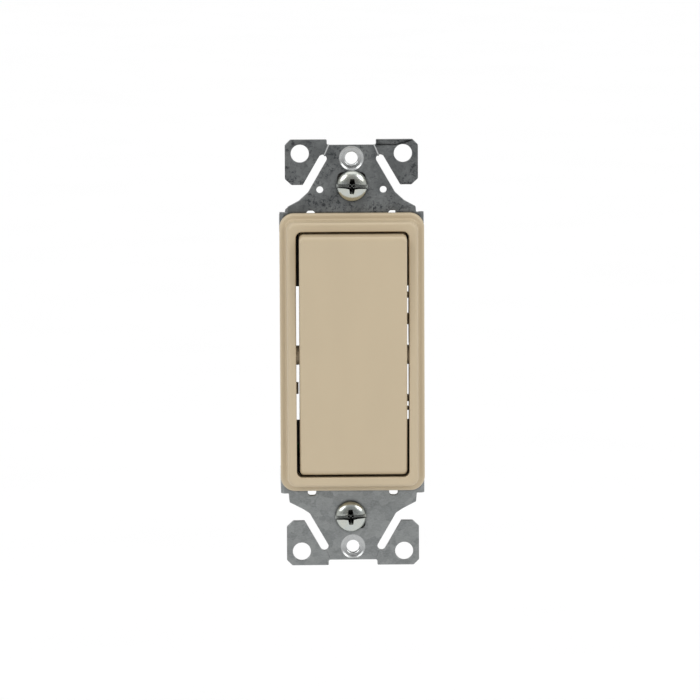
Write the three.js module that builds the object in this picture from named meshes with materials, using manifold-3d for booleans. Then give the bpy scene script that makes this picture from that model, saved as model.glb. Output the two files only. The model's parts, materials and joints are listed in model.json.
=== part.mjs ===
// Single-pole rocker wall switch, decorator style. Millimetres, +Z up.
//
// The rocker faces -Y, +X is to the right seen from the front, and +Z is up. The plane y = 0 is
// the strap's rear face, which rests on the wall box, and the origin is midway between the two
// tapped cover-plate holes, and so between the wall box's two screw holes. The rocker is modelled
// at rest in its "off" position, with its top end out.

import * as THREE from "three";
import { mergeVertices } from "three/addons/utils/BufferGeometryUtils.js";
import Module from "manifold-3d";

const wasm = await Module();
wasm.setup();

// ---------------------------------------------------------------- driving dimensions

const PLATE_SCREW_Z = 48.42; // cover-plate screws are 96.84 mm apart
const JOINT_GAP = 0.05; // between still pieces that seat on each other
const RUNNING_GAP = 0.3; // around a shank or in a slot

// Strap
const STRAP_FRONT = -1.3; // the steel is 1.3 mm thick and its rear face is y = 0
const STRAP_END_Z = 53.05; // ends of the ears
const TONGUE_END_Z = 51.7; // end of the middle, between the ears
const TONGUE_X = 6.05;
const EAR_X = 16.4;
const EAR_INNER_Z = 41.88;
const EAR_HOLE = { x: 12.7, z: 49.6, radius: 2.25 };
const BREAK_SLOT = { x: 7.1, z: 48.3, width: 2.05, lean: Math.PI / 6 };
const SLOT_MOUTH_Z = 40.0;
const TOP_SHOULDER = [[13.0, 37.9], [15.8, 36.4], [15.9, 35.0]];
const BOTTOM_SHOULDER = [[12.4, 38.9], [15.7, 37.2], [15.9, 35.0]];
const RAIL_X = 17.0;
const WINDOW = { x: 14.75, z: 31.5, corner: 1.5 };
const LEG = { inner: 16.5, outer: 17.8, end: 9.0, low: 29.4, high: 33.6 };
const LEG_ROOT = { high: 35.0, end: 1.2 }; // wider where it leaves the sheet
const LEG_WINDOW = { front: 3.8, back: 7.0, low: 31.0, high: 33.0 };
const HOOK_SLOT = { x: 10.1, width: 2.1, low: 33.0, high: 35.5 };
const GROUND_TAB = { outer: -15.2, inner: -13.9, end: 12.5, low: -29.0, high: -21.9, stopY: 10.7 };
const GUIDE_HOLE = { x: 7.82, z: 40.65, radius: 0.86 };
const TOP_SLOT = { width: 6.8, height: 5.5, corner: 1.2, z: 42.12 };
const BOTTOM_SLOT = { width: 6.0, height: 5.2, corner: 1.2, z: -41.2 };

// Bezel frame
const FRAME_BACK = STRAP_FRONT - JOINT_GAP;
const FRAME_Z = 0.4; // the frame sits this far above the middle of the strap
const FLANGE = { width: 35.7, height: 69.1, corner: 3.6, front: -2.95 };
const STEP = { width: 32.5, height: 65.6, corner: 2.1, front: -7.8, bevel: 0.5 };
const OPENING = { width: 27.8, height: 61.0, corner: 1.45 };

// Rocker and its mechanism
const PIVOT_Y = -4.0;
const ROCKER_TILT = THREE.MathUtils.degToRad(3.4); // each way from the middle
const ROCKER_SIDE_SHIFT = 0.13; // side play, taken up to the right
const ROCKER_Z = 0.5; // middle of the rocker, above its pivot
const ROCKER = { width: 26.5, faceHalf: 29.8, skirtHalf: 30.1, corner: 1.1, skirt: 2.0, wall: 1.6 };
const ROCKER_FACE_END = -5.136; // face at the two ends, from the pivot
const ROCKER_FACE_MIDDLE = -4.77; // the face is a very shallow V, deepest at the pivot
const ROCKER_INSIDE = -3.2;
const TRUNNION = { radius: 2.4, inner: 13.0, outer: 15.3, boss: 2.9 };
const STEM = { half: 3.2, end: 9.3, bore: 1.9, boreTop: -2.4 };
const PLUNGER = { radius: 1.6, back: 3.0, tip: 13.4 };
const COIL = { radius: 1.15, wire: 0.22, turns: 6, low: -2.0, high: 2.6 };
const BLADE_PIVOT_Y = 10.4;
const BLADE_TILT = THREE.MathUtils.degToRad(4.0); // each way from the middle
const BLADE = { half: 2.4, low: -16.2, high: 9.5, thickness: 0.8, lift: 0.1 };
const CONTACT = { radius: 1.5, face: 1.1, height: 0.75, z: -14.0 };
const FIXED_CONTACT_TOP = 12.3;

// Housing
const BODY = { front: 0.4, back: 25.0, waist: 12.6, x: 16.2, z: 33.5, blockZ: 22.0 };
const SHELF = { back: 2.4, top: 16.4, bottom: -17.0 };
const ROCKER_POCKET = { x: 14.0, z: 31.2, floor: 1.7 };
const COVER = { x: 10.8, z: 20.3, front: 1.75, back: 3.1 };
const CHAMBER = { x: 10.1, z: 19.6, floor: 21.5 };

// Terminals. Both wiring screws are on the +X side, one in each end of the housing
const TERMINAL_Z = 25.6;
const RECESS = { floor: 8.3, front: 6.0, back: 21.0, half: 4.0 };
const TERMINAL = { inner: 8.6, outer: 9.8, front: 6.5, back: 20.5, half: 3.7 };
const WIRE_STOP = { rise: 0.2, front: 14.8, back: 20.0, half: 3.4 }; // raised pad beyond the clamp
const WIRING_SCREW = { y: 10.2, top: 14.2, head: 3.6, headHeight: 2.4, shank: 2.0, length: 9.7 };
const CLAMP = { inner: 10.3, outer: 11.5, front: 6.6, back: 13.9, half: 3.6 };
const WIRE_HOLE = { x: 7.0, radius: 1.45 };
const SPRING_POCKET = { inner: 2.6, front: 14.5, half: 2.8 };
const GROUND_SCREW = { y: 6.2, z: -25.2, top: -17.7, hex: 3.4, flange: 3.8, length: 8.1 };

// Mounting screws
const SCREW = { head: 3.87, shank: 1.7, underHead: STRAP_FRONT - JOINT_GAP, length: 19.0 };
// The loose screws rest off the middle of their slots
const SCREW_REST = { top: [0.12, 41.6], bottom: [-0.55, -40.75] };
const WASHER = { size: 8.0, corner: 0.8, front: 3.6, back: 4.4 };

// Fineness of the curves
const ARC_LENGTH = 0.7; // longest straight piece in a rounded corner
const ROUND_SIDES = 24;

// ---------------------------------------------------------------- solids

function solid(geometry) {
  const bare = new THREE.BufferGeometry();
  bare.setAttribute("position", geometry.attributes.position);
  bare.setIndex(geometry.index);
  const merged = mergeVertices(bare, 1e-4);
  const index = merged.index.array;
  const corners = [];
  for (let i = 0; i < index.length; i += 3) {
    const [a, b, c] = index.slice(i, i + 3);
    if (a !== b && b !== c && c !== a) {
      corners.push(a, b, c);
    }
  }
  const vertProperties = merged.attributes.position.array;
  return new wasm.Manifold(
    new wasm.Mesh({ numProp: 3, vertProperties, triVerts: new Uint32Array(corners) }),
  );
}

function geometryOf(body) {
  const mesh = body.getMesh();
  const geometry = new THREE.BufferGeometry();
  geometry.setAttribute("position", new THREE.BufferAttribute(mesh.vertProperties, 3));
  geometry.setIndex(new THREE.BufferAttribute(mesh.triVerts, 1));
  geometry.computeVertexNormals();
  return geometry;
}

function join(...pieces) {
  return pieces.reduce((whole, piece) => whole.add(piece));
}

function cut(body, ...tools) {
  return tools.reduce((rest, tool) => rest.subtract(tool), body);
}

// A box, given by its lowest and highest x, y and z
function block([x0, x1], [y0, y1], [z0, z1]) {
  const geometry = new THREE.BoxGeometry(x1 - x0, y1 - y0, z1 - z0);
  geometry.translate((x0 + x1) / 2, (y0 + y1) / 2, (z0 + z1) / 2);
  return solid(geometry);
}

// A plate whose outline is drawn in x and z, from its front face to its back face
function slab(shape, yFront, yBack, bevel = 0) {
  const geometry = new THREE.ExtrudeGeometry(shape, {
    depth: yBack - yFront - 2 * bevel,
    bevelEnabled: bevel > 0,
    bevelThickness: bevel,
    bevelSize: bevel,
    bevelOffset: -bevel,
    bevelSegments: 2,
  });
  geometry.translate(0, 0, bevel);
  geometry.rotateX(Math.PI / 2);
  geometry.translate(0, yBack, 0);
  return solid(geometry);
}

// A bar along X whose section is drawn in y and z
function barX(points, x0, x1) {
  const geometry = new THREE.ExtrudeGeometry(polygon(points), { depth: x1 - x0, bevelEnabled: false });
  const alongX = new THREE.Matrix4().makeBasis(
    new THREE.Vector3(0, 1, 0),
    new THREE.Vector3(0, 0, 1),
    new THREE.Vector3(1, 0, 0),
  );
  geometry.applyMatrix4(alongX);
  geometry.translate(x0, 0, 0);
  return solid(geometry);
}

// A bar along Z whose section is drawn in x and y
function barZ(points, z0, z1) {
  const geometry = new THREE.ExtrudeGeometry(polygon(points), { depth: z1 - z0, bevelEnabled: false });
  geometry.translate(0, 0, z0);
  return solid(geometry);
}

// A rod along Y, or along X when it is turned
function rodY(radius, [x, z], y0, y1, sides = ROUND_SIDES) {
  const geometry = new THREE.CylinderGeometry(radius, radius, y1 - y0, sides);
  geometry.translate(x, (y0 + y1) / 2, z);
  return solid(geometry);
}

function rodX(radius, [y, z], x0, x1, sides = ROUND_SIDES) {
  const geometry = new THREE.CylinderGeometry(radius, radius, x1 - x0, sides);
  geometry.rotateZ(Math.PI / 2);
  geometry.translate((x0 + x1) / 2, y, z);
  return solid(geometry);
}

// A turned piece about Y. The profile runs from the axis at its lowest y back to the axis
function turned(profile, sides = ROUND_SIDES) {
  return solid(new THREE.LatheGeometry(profile.map(([r, y]) => new THREE.Vector2(r, y)), sides));
}

// ---------------------------------------------------------------- outlines

function polygon(points) {
  return new THREE.Shape(points.map(([u, v]) => new THREE.Vector2(u, v)));
}

// The points of a closed outline whose corners [u, v, radius] are rounded
function roundCorners(corners) {
  const points = [];
  corners.forEach(([u, v, radius = 0], i) => {
    const corner = new THREE.Vector2(u, v);
    if (radius === 0) {
      points.push([u, v]);
      return;
    }
    const before = new THREE.Vector2(...corners.at(i - 1));
    const after = new THREE.Vector2(...corners[(i + 1) % corners.length]);
    const toBefore = before.sub(corner).normalize();
    const toAfter = after.sub(corner).normalize();
    const half = Math.acos(toBefore.dot(toAfter)) / 2;
    const towards = toBefore.clone().add(toAfter).normalize();
    const centre = corner.clone().addScaledVector(towards, radius / Math.sin(half));
    const first = corner.clone().addScaledVector(toBefore, radius / Math.tan(half)).sub(centre);
    const sweep = (Math.PI - 2 * half) * Math.sign(toAfter.cross(toBefore));
    const steps = Math.max(2, Math.ceil((radius * Math.abs(sweep)) / ARC_LENGTH));
    for (let step = 0; step <= steps; step += 1) {
      const spoke = first.clone().rotateAround(new THREE.Vector2(), (sweep * step) / steps);
      points.push([centre.x + spoke.x, centre.y + spoke.y]);
    }
  });
  return points;
}

function rectangle(width, height, corner, [u, v] = [0, 0]) {
  const [a, b] = [width / 2, height / 2];
  return polygon(
    roundCorners([
      [u + a, v - b, corner],
      [u + a, v + b, corner],
      [u - a, v + b, corner],
      [u - a, v - b, corner],
    ]),
  );
}

// ---------------------------------------------------------------- strap

// A point on the break-off slot, measured along it from its round end and across it outward
function breakSlotPoint(along, across) {
  const [sin, cos] = [Math.sin(BREAK_SLOT.lean), Math.cos(BREAK_SLOT.lean)];
  return [BREAK_SLOT.x + along * sin + across * cos, BREAK_SLOT.z - along * cos + across * sin];
}

// Where an edge of the break-off slot comes down to a height
function breakSlotEdge(across, z) {
  const [sin, cos] = [Math.sin(BREAK_SLOT.lean), Math.cos(BREAK_SLOT.lean)];
  return breakSlotPoint((BREAK_SLOT.z + across * sin - z) / cos, across);
}

// One quarter of the strap's outline, from its side to its end
function strapQuarter(shoulder) {
  const half = BREAK_SLOT.width / 2;
  const roundEnd = half - 0.01;
  return [
    [RAIL_X, LEG.low],
    [LEG.outer, LEG.low],
    [LEG.outer, LEG_ROOT.high, 0.5],
    [...shoulder[2]],
    [...shoulder[1], 0.4],
    [...shoulder[0], 1.0],
    [...breakSlotEdge(-half, SLOT_MOUTH_Z), 1.2],
    [...breakSlotPoint(-half, -half), roundEnd],
    [...breakSlotPoint(-half, half), roundEnd],
    [...breakSlotEdge(half, EAR_INNER_Z), 0.2],
    [EAR_X - 1.6, EAR_INNER_Z, 0.4],
    [EAR_X, EAR_INNER_Z + 1.5, 0.4],
    [EAR_X, STRAP_END_Z - 1.35, 0.4],
    [EAR_X - 1.35, STRAP_END_Z, 0.4],
    [TONGUE_X, STRAP_END_Z],
    [TONGUE_X, TONGUE_END_Z, 0.45],
  ];
}

function mirrored(corners, signX, signZ) {
  const moved = corners.map(([x, z, radius]) => [signX * x, signZ * z, radius]);
  return signX * signZ > 0 ? moved : moved.reverse();
}

function strapOutline() {
  const top = strapQuarter(TOP_SHOULDER);
  const bottom = strapQuarter(BOTTOM_SHOULDER);
  return polygon(
    roundCorners([
      ...mirrored(top, 1, 1),
      ...mirrored(top, -1, 1),
      ...mirrored(bottom, -1, -1),
      ...mirrored(bottom, 1, -1),
    ]),
  );
}

function strap() {
  const through = [STRAP_FRONT - 1, 2];
  let body = slab(strapOutline(), STRAP_FRONT, 0);
  body = cut(body, slab(rectangle(2 * WINDOW.x, 2 * WINDOW.z, WINDOW.corner), ...through));
  for (const end of [1, -1]) {
    // The tapped cover-plate hole is drawn back out of the sheet in a dimple
    const dimple = turned([[0, STRAP_FRONT - 0.2], [3.0, STRAP_FRONT - 0.2], [1.9, -0.6], [0, -0.6]]);
    const collar = rodY(2.5, [0, end * PLATE_SCREW_Z], -0.1, 0.6);
    body = cut(body.add(collar), dimple.translate([0, 0, end * PLATE_SCREW_Z]));
    body = cut(body, rodY(1.55, [0, end * PLATE_SCREW_Z], ...through));
    for (const side of [1, -1]) {
      const legZ = [end * LEG.low, end * LEG.high].sort((a, b) => a - b);
      const rootZ = [end * LEG.low, end * LEG_ROOT.high].sort((a, b) => a - b);
      const windowZ = [end * LEG_WINDOW.low, end * LEG_WINDOW.high].sort((a, b) => a - b);
      const legX = [side * LEG.inner, side * LEG.outer].sort((a, b) => a - b);
      const past = [legX[0] - 1, legX[1] + 1];
      body = join(
        body,
        block(legX, [STRAP_FRONT, LEG.end], legZ),
        block(legX, [STRAP_FRONT, LEG_ROOT.end], rootZ),
      );
      body = cut(
        body,
        block(past, [LEG_WINDOW.front, LEG_WINDOW.back], windowZ),
        rodY(EAR_HOLE.radius, [side * EAR_HOLE.x, end * EAR_HOLE.z], ...through),
        slab(
          rectangle(HOOK_SLOT.width, HOOK_SLOT.high - HOOK_SLOT.low, 0.6, [
            side * HOOK_SLOT.x,
            (end * (HOOK_SLOT.low + HOOK_SLOT.high)) / 2,
          ]),
          ...through,
        ),
      );
    }
  }
  for (const side of [1, -1]) {
    body = cut(body, rodY(GUIDE_HOLE.radius, [side * GUIDE_HOLE.x, GUIDE_HOLE.z], ...through, 16));
  }
  for (const { width, height, corner, z } of [TOP_SLOT, BOTTOM_SLOT]) {
    body = cut(body, slab(rectangle(width, height, corner, [0, z]), ...through));
  }
  const tab = block(
    [GROUND_TAB.outer, GROUND_TAB.inner],
    [STRAP_FRONT, GROUND_TAB.end],
    [GROUND_TAB.low, GROUND_TAB.high],
  );
  const wireStop = block(
    [GROUND_TAB.outer - WIRE_STOP.rise, GROUND_TAB.inner - 0.5],
    [GROUND_TAB.stopY, GROUND_TAB.end],
    [GROUND_TAB.low + 0.3, GROUND_TAB.high - 0.3],
  );
  const tapped = rodX(2.3, [GROUND_SCREW.y, GROUND_SCREW.z], GROUND_TAB.outer - 1, GROUND_TAB.inner + 1);
  return cut(join(body, tab, wireStop), tapped);
}

// ---------------------------------------------------------------- bezel frame

function bezelFrame() {
  const centre = [0, FRAME_Z];
  const flange = slab(
    rectangle(FLANGE.width, FLANGE.height, FLANGE.corner, centre),
    FLANGE.front,
    FRAME_BACK,
  );
  const step = rectangle(STEP.width, STEP.height, STEP.corner, centre);
  let body = join(flange, slab(step, STEP.front, FRAME_BACK - 0.1, STEP.bevel));
  body = cut(
    body,
    slab(rectangle(OPENING.width, OPENING.height, OPENING.corner, centre), STEP.front - 1, FRAME_BACK + 1),
  );
  const pocket = TRUNNION.radius + RUNNING_GAP;
  for (const side of [1, -1]) {
    // The trunnion drops into a pocket that is open at the back, and the strap's rail closes it
    const depth = [side * 13.5, side * 15.65].sort((a, b) => a - b);
    body = cut(
      body,
      rodX(pocket, [PIVOT_Y, 0], ...depth),
      block(depth, [PIVOT_Y, 0], [-pocket, pocket]),
    );
    for (const end of [1, -1]) {
      body = body.add(frameHook(side, end));
    }
  }
  const lugs = [
    [-1, -10.2, -7.2],
    [1, 7.0, 9.9],
    [1, 13.6, 15.2],
    [1, -12.2, -10.4],
    [1, -14.4, -13.3],
  ];
  for (const [side, low, high] of lugs) {
    body = body.add(frameLug(side, low, high));
  }
  return body;
}

// A hook that passes through the strap's slot and catches behind it
function frameHook(side, end) {
  const x = [side * HOOK_SLOT.x - 0.85, side * HOOK_SLOT.x + 0.85];
  const hook = [
    [FRAME_BACK - 0.3, 34.2],
    [FRAME_BACK - 0.3, 33.2],
    [0.1, 33.2],
    [0.1, 32.5],
    [0.6, 32.5],
    [1.6, 33.2],
    [1.6, 34.2],
  ];
  const points = hook.map(([y, z]) => [y, end * z]);
  return barX(end > 0 ? points : points.reverse(), ...x);
}

// A lug that steadies the frame inside the strap's window
function frameLug(side, low, high) {
  const root = [side * 14.2, side * 14.6].sort((a, b) => a - b);
  const reach = [side * 13.3, side * 14.6].sort((a, b) => a - b);
  return join(block(root, [-2.0, 0.2], [low, high]), block(reach, [-0.8, 0.2], [low, high]));
}

// ---------------------------------------------------------------- rocker, about its pivot

function rocker() {
  const { width, faceHalf, skirtHalf, corner, skirt, wall } = ROCKER;
  const section = [
    [ROCKER_FACE_END, ROCKER_Z - faceHalf],
    [skirt, ROCKER_Z - skirtHalf],
    [skirt, ROCKER_Z + skirtHalf],
    [ROCKER_FACE_END, ROCKER_Z + faceHalf],
    [ROCKER_FACE_MIDDLE, 0],
  ];
  const middle = [0, ROCKER_Z];
  const outline = slab(rectangle(width, 2 * skirtHalf, corner, middle), ROCKER_FACE_END - 1, skirt);
  const inside = rectangle(width - 2 * wall, 2 * (faceHalf - wall), 0.6, middle);
  let body = outline.intersect(barX(section, -width / 2, width / 2));
  body = cut(body, slab(inside, ROCKER_INSIDE, skirt + 1));
  const inner = width / 2 - wall;
  for (const z of [-20, -10, 10, 20]) {
    body = body.add(block([-inner - 0.5, inner + 0.5], [ROCKER_INSIDE - 0.2, -1.2], [z - 0.5, z + 0.5]));
  }
  for (const side of [1, -1]) {
    const boss = [side * inner, side * (width / 2)].sort((a, b) => a - b);
    const pin = [side * TRUNNION.inner, side * TRUNNION.outer].sort((a, b) => a - b);
    body = join(body, rodX(TRUNNION.boss, [0, 0], ...boss), rodX(TRUNNION.radius, [0, 0], ...pin));
  }
  const stem = [-STEM.half, STEM.half];
  body = body.add(block(stem, [ROCKER_INSIDE - 0.2, STEM.end], stem));
  return cut(body, rodY(STEM.bore, [0, 0], STEM.boreTop, STEM.end + 1));
}

function plunger() {
  const { radius, back, tip } = PLUNGER;
  const nose = [1, 2, 3, 4].map((step) => {
    const angle = (step * Math.PI) / 8;
    return [radius * Math.cos(angle), tip - radius + radius * Math.sin(angle)];
  });
  nose[3][0] = 0;
  return turned([[0, back], [radius, back], [radius, tip - radius], ...nose], 16);
}

// A helix about Y, given a radius, a start, an end and a number of turns
class Helix extends THREE.Curve {
  getPoint(t, target = new THREE.Vector3()) {
    const angle = t * COIL.turns * 2 * Math.PI;
    const y = COIL.low + t * (COIL.high - COIL.low);
    return target.set(COIL.radius * Math.cos(angle), y, COIL.radius * Math.sin(angle));
  }
}

function plungerSpring() {
  const wire = Array.from({ length: 6 }, (_, i) => {
    const angle = (i * Math.PI) / 3;
    return [COIL.wire * Math.cos(angle), COIL.wire * Math.sin(angle)];
  });
  const geometry = new THREE.ExtrudeGeometry(polygon(wire), {
    extrudePath: new Helix(),
    steps: COIL.turns * 10,
    bevelEnabled: false,
  });
  return solid(geometry);
}

// ---------------------------------------------------------------- blade and contacts

function contactBlade() {
  const { half, low, high, thickness, lift } = BLADE;
  const shape = rectangle(2 * half, high - low, 1.6, [0, (low + high) / 2]);
  return slab(shape, -lift - thickness, -lift);
}

// A contact button about Y, with its face towards +Y
function contactButton() {
  const { radius, face, height } = CONTACT;
  return turned([[0, 0], [radius, 0], [radius, height / 2], [face, height], [0, height]], 16);
}

function movingContact() {
  return contactButton().translate([0, -BLADE.lift + JOINT_GAP, CONTACT.z]);
}

function fixedContact() {
  return contactButton().rotate([180, 0, 0]).translate([0, FIXED_CONTACT_TOP + CONTACT.height, CONTACT.z]);
}

// ---------------------------------------------------------------- housing

function baseHousing() {
  const { front, back, waist, x, z, blockZ } = BODY;
  const depth = [front - 1, back + 1];
  let body = block([-waist, waist], [front, back], [-blockZ - 0.5, blockZ + 0.5]);
  body = join(
    body,
    block([-x, x], [front, SHELF.back], [SHELF.top, blockZ + 0.5]),
    block([-x, x], [front, SHELF.back], [-blockZ - 0.5, SHELF.bottom]),
  );
  for (const end of [1, -1]) {
    const centre = (end * (blockZ + z)) / 2;
    body = body.add(slab(rectangle(2 * x, z - blockZ, 1.0, [0, centre]), front, back));
    for (const side of [1, -1]) {
      body = body.add(snapBarb(side, end));
      body = cut(
        body,
        slab(rectangle(2.8, 4.0, 0, [side * HOOK_SLOT.x, end * (30.7 + 2.0)]), ...depth),
      );
    }
  }
  body = cut(
    body,
    block([-ROCKER_POCKET.x, ROCKER_POCKET.x], [-1, ROCKER_POCKET.floor], [-ROCKER_POCKET.z, ROCKER_POCKET.z]),
    block([-COVER.x - 0.3, COVER.x + 0.3], [-1, COVER.back + 0.3], [-COVER.z - 0.3, COVER.z + 0.3]),
    block([-CHAMBER.x, CHAMBER.x], [1, CHAMBER.floor], [-CHAMBER.z, CHAMBER.z]),
  );
  for (const end of [1, -1]) {
    body = cut(body, ...terminalCuts(end));
  }
  const groundPocket = block([-x - 1, -9.0], [-1, 13.0], [-30.0, -21.5]);
  return cut(body, groundPocket);
}

// A barb that snaps into the window of one of the strap's legs
function snapBarb(side, end) {
  const section = [[16.0, 4.0], [17.1, 5.8], [17.1, 6.7], [16.0, 6.7]].map(([x, y]) => [side * x, y]);
  const z = [end * 31.3, end * 32.7].sort((a, b) => a - b);
  return barZ(side > 0 ? section : section.reverse(), ...z);
}

// The recess of one wiring screw, with its wire hole and spring pocket
function terminalCuts(end) {
  const centre = end * TERMINAL_Z;
  const spring = [centre - SPRING_POCKET.half, centre + SPRING_POCKET.half];
  const channel = [end * (CHAMBER.z - 1), end * (BODY.blockZ + 0.5)].sort((a, b) => a - b);
  return [
    block([RECESS.floor, BODY.x + 1], [RECESS.front, RECESS.back], [centre - RECESS.half, centre + RECESS.half]),
    block([RECESS.floor, CHAMBER.x], [1, RECESS.back - 1.5], channel),
    rodX(2.5, [WIRING_SCREW.y, centre], 4.0, RECESS.floor + 0.5),
    block([SPRING_POCKET.inner, RECESS.floor + 0.5], [SPRING_POCKET.front, RECESS.back], spring),
    rodY(WIRE_HOLE.radius, [WIRE_HOLE.x, centre], RECESS.back - 0.5, BODY.back + 1),
    block([3.2, 4.6], [RECESS.back - 0.5, BODY.back + 1], [centre - 1.2, centre + 1.2]),
  ];
}

function chamberCover() {
  const plate = block([-COVER.x, COVER.x], [COVER.front, COVER.back], [-COVER.z, COVER.z]);
  return cut(plate, block([-4.2, 4.2], [0, 5], [-5.0, 5.0]));
}

// ---------------------------------------------------------------- terminals

function terminalPlate(end) {
  const centre = end * TERMINAL_Z;
  const z = [centre - TERMINAL.half, centre + TERMINAL.half];
  const plate = block([TERMINAL.inner, TERMINAL.outer], [TERMINAL.front, TERMINAL.back], z);
  const stop = block(
    [TERMINAL.outer - 0.5, TERMINAL.outer + WIRE_STOP.rise],
    [WIRE_STOP.front, WIRE_STOP.back],
    [centre - WIRE_STOP.half, centre + WIRE_STOP.half],
  );
  const tapped = rodX(WIRING_SCREW.shank + RUNNING_GAP, [WIRING_SCREW.y, centre], 7, 11);
  return cut(plate.add(stop), tapped);
}

function lineTerminal() {
  const strip = [TERMINAL.inner, TERMINAL.outer];
  return join(
    terminalPlate(1),
    block(strip, [15.0, 18.5], [-2.2, TERMINAL_Z - TERMINAL.half + 0.1]),
    block([-2.2, TERMINAL.outer], [17.5, 18.5], [-2.2, 2.2]),
    block([-2.2, 2.2], [BLADE_PIVOT_Y + 0.1, 18.0], [-0.5, 0.5]),
  );
}

function loadTerminal() {
  const strip = [TERMINAL.inner, TERMINAL.outer];
  const armFront = FIXED_CONTACT_TOP + CONTACT.height + JOINT_GAP;
  return join(
    terminalPlate(-1),
    block(strip, [armFront, 17.0], [-TERMINAL_Z + TERMINAL.half - 0.1, -12.0]),
    block([-2.2, TERMINAL.outer], [armFront, armFront + 1.0], [-16.0, -12.0]),
  );
}

function wiringScrew(end) {
  const { top, y, head, headHeight, shank, length } = WIRING_SCREW;
  const profile = [
    [0, 0],
    [2.7, 0],
    [head, 0.8],
    [head, headHeight],
    [shank, headHeight],
    [shank, length - 0.6],
    [shank - 0.6, length],
    [0, length],
  ];
  const slot = block([-5, 5], [-1, 0.9], [-0.55, 0.55]);
  return cut(turned(profile), slot).rotate([0, 0, 90]).translate([top, y, end * TERMINAL_Z]);
}

function wireClamp(end) {
  const centre = end * TERMINAL_Z;
  const z = [centre - CLAMP.half, centre + CLAMP.half];
  const plate = block([CLAMP.inner, CLAMP.outer], [CLAMP.front, CLAMP.back], z);
  return cut(plate, rodX(WIRING_SCREW.shank + RUNNING_GAP, [WIRING_SCREW.y, centre], 9, 13));
}

// The folded leaf that grips a wire pushed in from the back
function pushSpring(end) {
  const thickness = 0.4;
  const middle = [[3.2, 20.3], [3.2, 15.8], [3.9, 15.1], [4.8, 15.2], [8.1, 18.6]];
  const inner = middle.map(([x, y], i) => {
    const before = new THREE.Vector2(...middle[Math.max(i - 1, 0)]);
    const after = new THREE.Vector2(...middle[Math.min(i + 1, middle.length - 1)]);
    const along = after.sub(before).normalize();
    return [x - along.y * thickness, y + along.x * thickness];
  });
  const centre = end * TERMINAL_Z;
  return barZ([...middle, ...inner.reverse()], centre - 2.0, centre + 2.0);
}

function groundScrew() {
  const { y, z, top, hex, flange, length } = GROUND_SCREW;
  const body = join(
    rodY(hex, [0, 0], 0, 1.8, 6),
    rodY(flange, [0, 0], 1.7, 2.2),
    turned([[0, 2.0], [2.0, 2.0], [2.0, length - 0.6], [1.4, length], [0, length]]),
  );
  const slot = block([-5, 5], [-1, 0.9], [-0.55, 0.55]);
  return cut(body, slot).rotate([0, 0, -90]).translate([top, y, z]);
}

// ---------------------------------------------------------------- mounting screws

function mountingScrew() {
  const { head, shank, underHead, length } = SCREW;
  const profile = [
    [0, underHead - 2.15],
    [1.5, underHead - 2.05],
    [2.7, underHead - 1.6],
    [3.5, underHead - 0.9],
    [head, underHead - 0.35],
    [head, underHead],
    [shank, underHead],
    [shank, underHead + length - 0.8],
    [shank - 0.7, underHead + length],
    [0, underHead + length],
  ];
  const slot = block([-5, 5], [underHead - 3, underHead - 1.1], [-0.5, 0.5]);
  const cross = block([-0.5, 0.5], [underHead - 3, underHead - 1.1], [-2.1, 2.1]);
  return cut(turned(profile), slot, cross);
}

function captiveWasher() {
  const plate = slab(rectangle(WASHER.size, WASHER.size, WASHER.corner), WASHER.front, WASHER.back);
  return cut(plate, rodY(SCREW.shank + RUNNING_GAP, [0, 0], 3, 5));
}

// ---------------------------------------------------------------- materials

const MATERIALS = {
  galvanised: { color: 0x7c7f80, roughness: 0.45, metalness: 0.9 },
  ivory: { color: 0xc7b49b, roughness: 0.45, metalness: 0 },
  housing: { color: 0x2b2a29, roughness: 0.6, metalness: 0 },
  cover: { color: 0x3a3734, roughness: 0.6, metalness: 0 },
  zinc: { color: 0xc9cdcf, roughness: 0.25, metalness: 1 },
  brass: { color: 0xb58c45, roughness: 0.35, metalness: 1 },
  silver: { color: 0xd8d8d4, roughness: 0.3, metalness: 1 },
  green: { color: 0x2f7d46, roughness: 0.4, metalness: 0.6 },
  spring: { color: 0x9a9da0, roughness: 0.3, metalness: 1 },
  slider: { color: 0xe6e2d8, roughness: 0.5, metalness: 0 },
  fibre: { color: 0x9c7a55, roughness: 0.9, metalness: 0 },
};

function piece(name, body, material) {
  const mesh = new THREE.Mesh(geometryOf(body), new THREE.MeshStandardMaterial(MATERIALS[material]));
  mesh.name = name;
  return mesh;
}

// ---------------------------------------------------------------- assembly

function fixedPieces() {
  return [
    piece("strap", strap(), "galvanised"),
    piece("bezel_frame", bezelFrame(), "ivory"),
    piece("base_housing", baseHousing(), "housing"),
    piece("chamber_cover", chamberCover(), "cover"),
    piece("line_terminal", lineTerminal(), "brass"),
    piece("load_terminal", loadTerminal(), "brass"),
    piece("fixed_contact", fixedContact(), "silver"),
    piece("line_push_spring", pushSpring(1), "spring"),
    piece("load_push_spring", pushSpring(-1), "spring"),
    piece("line_clamp", wireClamp(1), "zinc"),
    piece("load_clamp", wireClamp(-1), "zinc"),
    piece("line_screw", wiringScrew(1), "brass"),
    piece("load_screw", wiringScrew(-1), "brass"),
    piece("ground_screw", groundScrew(), "green"),
  ];
}

// The rocker and what rides in it, tilted about the trunnions
function rockerGroup() {
  const group = new THREE.Group();
  group.add(
    piece("rocker", rocker(), "ivory"),
    piece("plunger", plunger(), "slider"),
    piece("plunger_spring", plungerSpring(), "spring"),
  );
  group.position.set(ROCKER_SIDE_SHIFT, PIVOT_Y, 0);
  group.rotation.x = ROCKER_TILT;
  return group;
}

// The blade and its contact, tilted the other way about the fulcrum
function bladeGroup() {
  const group = new THREE.Group();
  group.add(
    piece("contact_blade", contactBlade(), "brass"),
    piece("moving_contact", movingContact(), "silver"),
  );
  group.position.set(0, BLADE_PIVOT_Y, 0);
  group.rotation.x = -BLADE_TILT;
  return group;
}

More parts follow.
